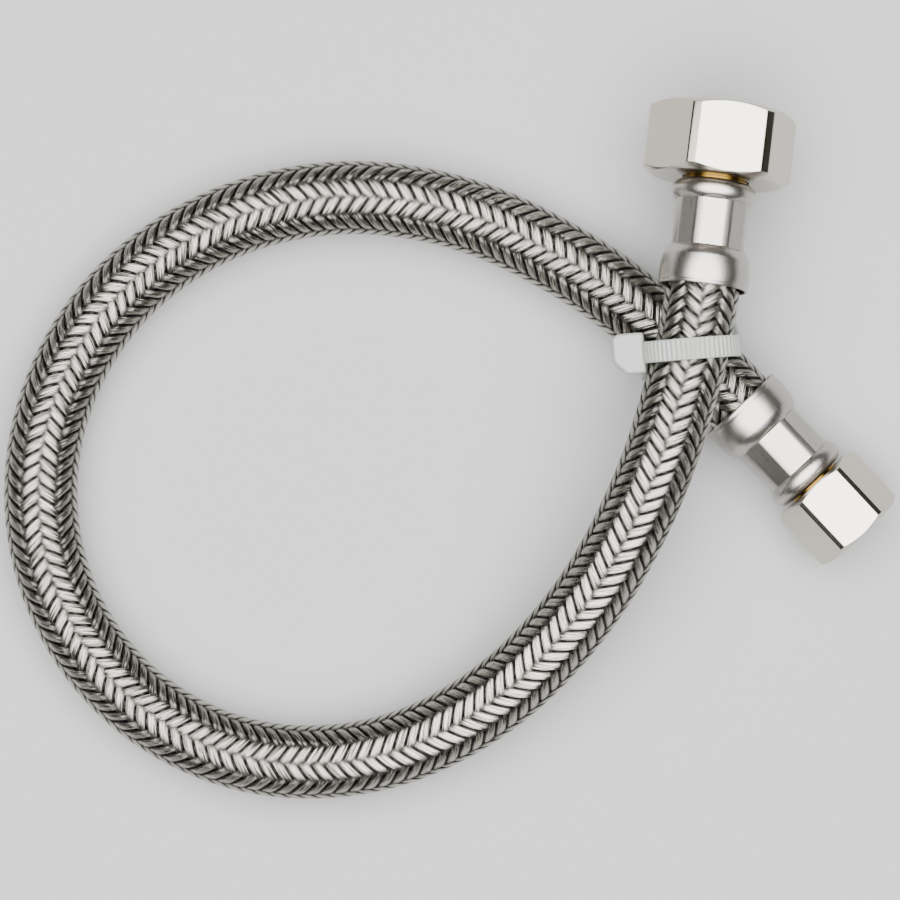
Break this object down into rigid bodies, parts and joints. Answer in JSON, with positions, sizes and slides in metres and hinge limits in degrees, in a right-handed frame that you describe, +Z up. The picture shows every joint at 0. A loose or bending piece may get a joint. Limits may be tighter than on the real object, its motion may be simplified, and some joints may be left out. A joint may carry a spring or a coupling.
{
  "type": "braided supply line",
  "caption": "Flexible water supply hose in stainless steel braid, looped and tied, with crimped ferrules and a swivel nut at each end.",
  "frame": {"origin": "middle of the footprint, on the surface that the coiled hose lies on", "axes": "+Z up from that surface, +X from the hose's loop towards the two fittings, +Y towards the large nut's end"},
  "size_m": [0.1681, 0.1314, 0.0325],
  "materials": {
    "steel_braid": "woven stainless steel wire, bright, in a two-over-two herringbone",
    "liner_rubber": "black extruded rubber, matt",
    "ferrule_steel": "pressed stainless steel, satin, with pressed flats",
    "insert_brass": "turned brass",
    "seal_rubber": "moulded rubber, matt",
    "nut_nickel": "nickel-plated brass, fine turned ends and smooth drawn flats",
    "tie_nylon": "natural translucent nylon, moulded, with fine cross ribs"
  },
  "bodies": {
    "root": {"braid_sleeve": "steel_braid", "inner_tube": "liner_rubber", "large_ferrule": "ferrule_steel", "large_insert": "insert_brass", "small_ferrule": "ferrule_steel", "small_insert": "insert_brass", "cable_tie": "tie_nylon"},
    "large_seal": {"large_seal": "seal_rubber"},
    "large_nut": {"large_nut": "nut_nickel"},
    "small_seal": {"small_seal": "seal_rubber"},
    "small_nut": {"small_nut": "nut_nickel"}
  },
  "joints": [
    {"name": "large_nut_slide", "type": "slide", "parent": "root", "child": "large_seal", "axis": [0.1215, 0.9869, -0.1063], "range_m": [-0.0003, 0.0009]},
    {"name": "large_nut_spin", "type": "hinge", "parent": "large_seal", "child": "large_nut", "pos_m": [0.05048, 0.05705, 0.01883], "axis": [0.1215, 0.9869, -0.1063], "continuous": true},
    {"name": "small_nut_slide", "type": "slide", "parent": "root", "child": "small_seal", "axis": [0.6832, -0.7303, 0], "range_m": [-0.0003, 0.0008]},
    {"name": "small_nut_spin", "type": "hinge", "parent": "small_seal", "child": "small_nut", "pos_m": [0.07256, -0.01009, 0.0085], "axis": [0.6832, -0.7303, 0], "continuous": true}
  ]
}
